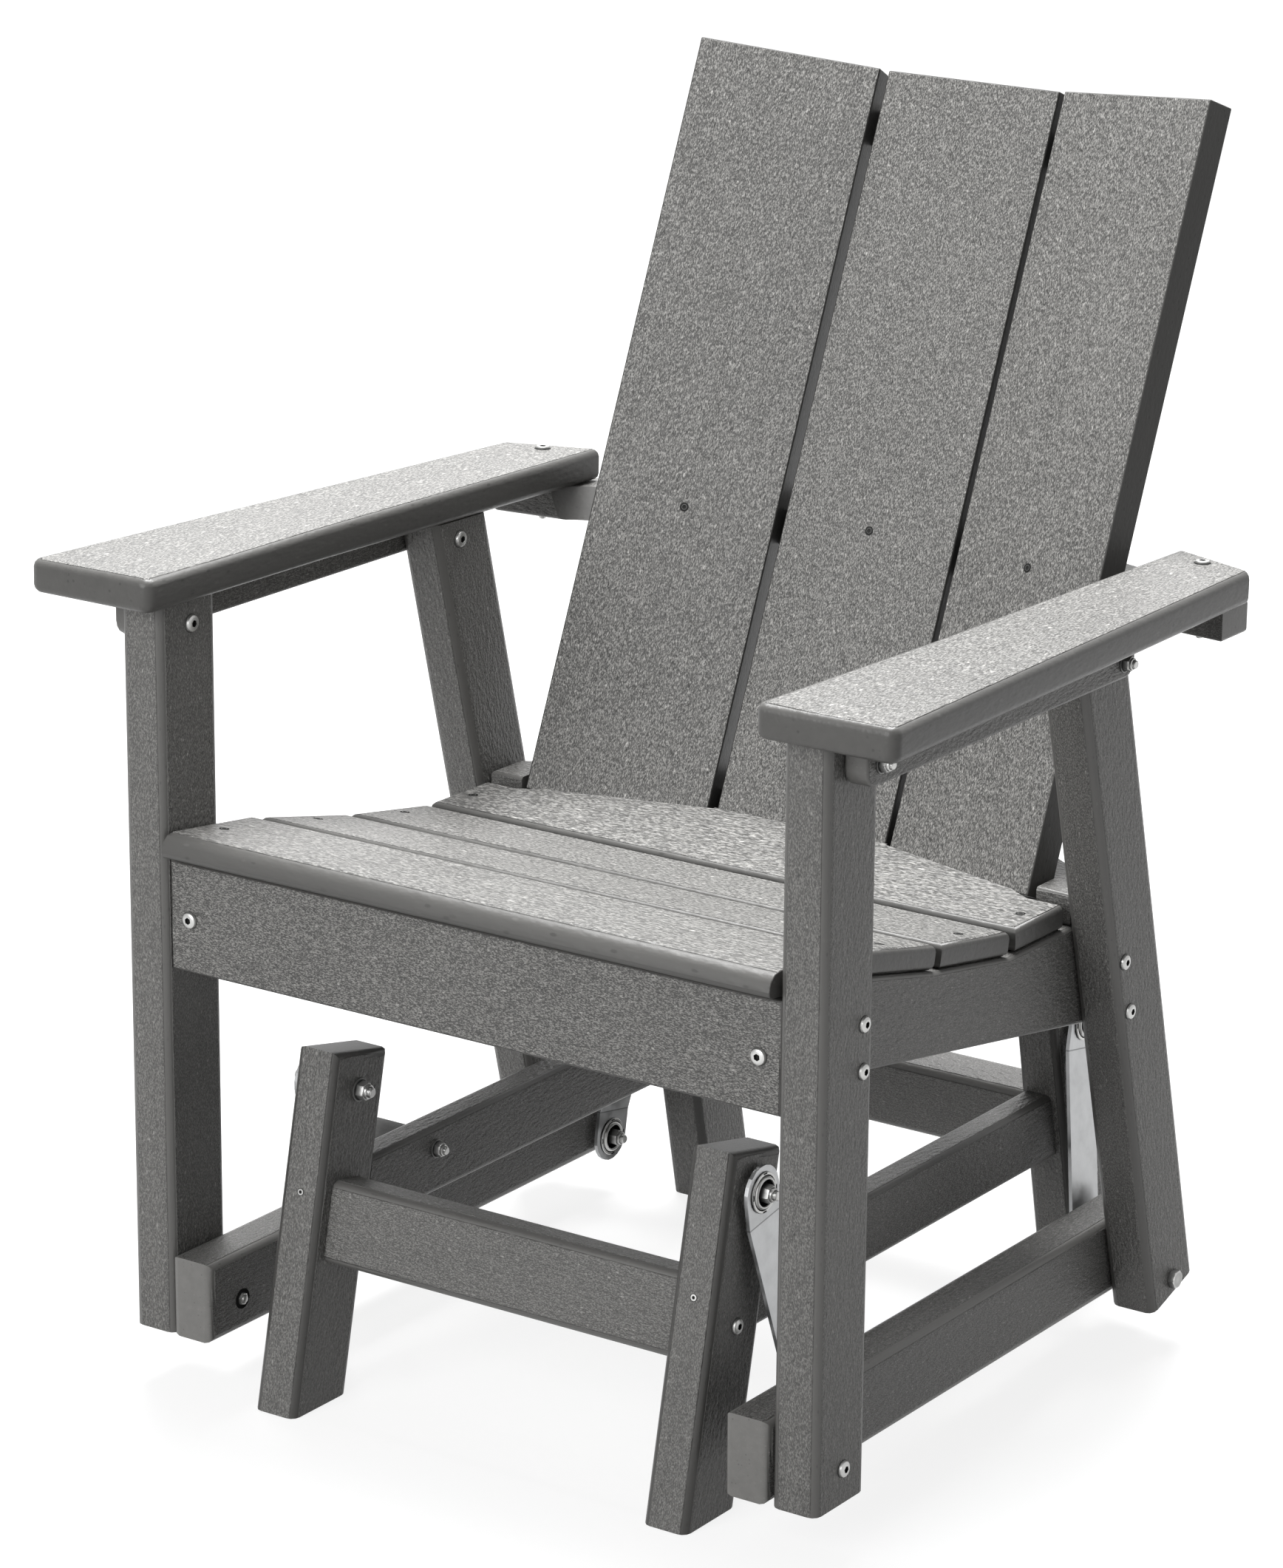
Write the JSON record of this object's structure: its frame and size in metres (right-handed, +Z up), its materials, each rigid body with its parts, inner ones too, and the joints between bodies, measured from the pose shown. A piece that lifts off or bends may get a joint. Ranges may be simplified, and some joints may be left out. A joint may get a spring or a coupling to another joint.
{
  "type": "glider chair",
  "caption": "Wide-armed outdoor glider chair of thick plastic boards; a fan-shaped slatted back and contoured seat swing on metal hangers over a splayed-leg base.",
  "frame": {"origin": "on the floor under the middle of the overall box, with the seat hanging at rest", "axes": "+X to the right as seen from the front, the sitter faces -Y, +Z up"},
  "size_m": [0.746, 0.7281, 0.9486],
  "materials": {
    "lumber": "pebbled, with rounded edges",
    "hanger": "bright zinc plate",
    "bearing": "pressed, bright zinc plate",
    "bolt": "plain stainless",
    "bumper": "matt"
  },
  "bodies": {
    "base": {"base_leg_front_left": "lumber", "base_leg_front_right": "lumber", "base_leg_rear_left": "lumber", "base_leg_rear_right": "lumber", "base_stretcher_front": "lumber", "base_stretcher_rear": "lumber", "base_side_rail_left": "lumber", "base_side_rail_right": "lumber", "stop_bumper_left": "bumper", "stop_bumper_right": "bumper", "pivot_bolt_upper_front_left": "bolt", "pivot_bolt_upper_front_right": "bolt", "pivot_bolt_upper_rear_left": "bolt", "pivot_bolt_upper_rear_right": "bolt"},
    "front_hanger_left": {"hanger_front_left": "hanger", "bearing_upper_front_left": "bearing", "bearing_lower_front_left": "bearing"},
    "front_hanger_right": {"hanger_front_right": "hanger", "bearing_upper_front_right": "bearing", "bearing_lower_front_right": "bearing"},
    "rear_hanger_left": {"hanger_rear_left": "hanger", "bearing_upper_rear_left": "bearing", "bearing_lower_rear_left": "bearing"},
    "rear_hanger_right": {"hanger_rear_right": "hanger", "bearing_upper_rear_right": "bearing", "bearing_lower_rear_right": "bearing"},
    "seat_frame": {"front_post_left": "lumber", "front_post_right": "lumber", "rear_post_left": "lumber", "rear_post_right": "lumber", "lower_rail_left": "lumber", "lower_rail_right": "lumber", "arm_cleat_left": "lumber", "arm_cleat_right": "lumber", "arm_left": "lumber", "arm_right": "lumber", "seat_side_rail_left": "lumber", "seat_side_rail_right": "lumber", "front_apron": "lumber", "seat_slat_1": "lumber", "seat_slat_2": "lumber", "seat_slat_3": "lumber", "seat_slat_4": "lumber", "back_slat_left": "lumber", "back_slat_middle": "lumber", "back_slat_right": "lumber", "arm_cross_bar": "lumber", "lower_cross_bar": "lumber", "upper_batten": "lumber", "cleat_bolt_front_left": "bolt", "cleat_bolt_front_right": "bolt", "cleat_bolt_rear_left": "bolt", "cleat_bolt_rear_right": "bolt", "arm_bolt_left": "bolt", "arm_bolt_right": "bolt", "pivot_bolt_lower_front_left": "bolt", "pivot_bolt_lower_front_right": "bolt", "pivot_bolt_lower_rear_left": "bolt", "pivot_bolt_lower_rear_right": "bolt"}
  },
  "joints": [
    {"name": "glide", "type": "hinge", "parent": "base", "child": "front_hanger_left", "pos_m": [-0.2021, -0.25539, 0.238], "axis": [1, 0, 0], "range_deg": [-14, 14]},
    {"name": "front_right_swing", "type": "hinge", "parent": "base", "child": "front_hanger_right", "pos_m": [0.2021, -0.25539, 0.238], "axis": [1, 0, 0], "range_deg": [-14, 14]},
    {"name": "rear_left_swing", "type": "hinge", "parent": "base", "child": "rear_hanger_left", "pos_m": [-0.2021, 0.19661, 0.238], "axis": [1, 0, 0], "range_deg": [-14, 14]},
    {"name": "rear_right_swing", "type": "hinge", "parent": "base", "child": "rear_hanger_right", "pos_m": [0.2021, 0.19661, 0.238], "axis": [1, 0, 0], "range_deg": [-14, 14]},
    {"name": "seat_pitch", "type": "hinge", "parent": "front_hanger_left", "child": "seat_frame", "pos_m": [-0.225, -0.22339, 0.058], "axis": [1, 0, 0], "range_deg": [-16.3, 16.3]}
  ],
  "couplings": [
    {"joint": "front_right_swing", "follows": "glide", "ratio": 1},
    {"joint": "rear_left_swing", "follows": "glide", "ratio": 1},
    {"joint": "rear_right_swing", "follows": "glide", "ratio": 1},
    {"joint": "seat_pitch", "follows": "glide", "ratio": -1.1624}
  ]
}
